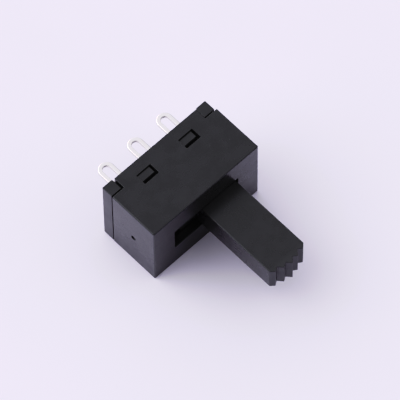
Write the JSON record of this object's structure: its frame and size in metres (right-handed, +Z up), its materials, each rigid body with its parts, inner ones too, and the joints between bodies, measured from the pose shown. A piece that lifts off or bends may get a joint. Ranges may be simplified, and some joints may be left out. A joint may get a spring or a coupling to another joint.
{
  "type": "slide switch",
  "caption": "Small black slide switch with a long ridged handle, a snap-together moulded case with latch windows, and flat solder lugs with oval wire holes.",
  "frame": {"origin": "centre of the long side of the housing that the switch lies on", "axes": "+X along the slide, towards the position in which the handle is stored; -Y out of the front face, the way the handle points; +Y towards the solder lugs; +Z up, away from the side it lies on"},
  "size_m": [0.0142, 0.0215, 0.0094],
  "materials": {
    "housing_plastic": "satin black moulded plastic",
    "base_plastic": "satin black moulded plastic",
    "slider_plastic": "satin black moulded plastic",
    "terminal_metal": "silver-plated stamped brass",
    "contact_metal": "spring bronze strip",
    "spring_steel": "drawn spring wire",
    "ball_steel": "polished bearing steel"
  },
  "bodies": {
    "case": {"housing": "housing_plastic", "base": "base_plastic", "terminal_left": "terminal_metal", "terminal_common": "terminal_metal", "terminal_right": "terminal_metal"},
    "slider": {"slider": "slider_plastic", "moving_contact": "contact_metal", "contact_spring": "spring_steel", "detent_ball": "ball_steel", "detent_spring": "spring_steel"}
  },
  "joints": [
    {"name": "handle_slide", "type": "slide", "parent": "case", "child": "slider", "axis": [1, 0, 0], "range_m": [-0.00335, 0]}
  ]
}
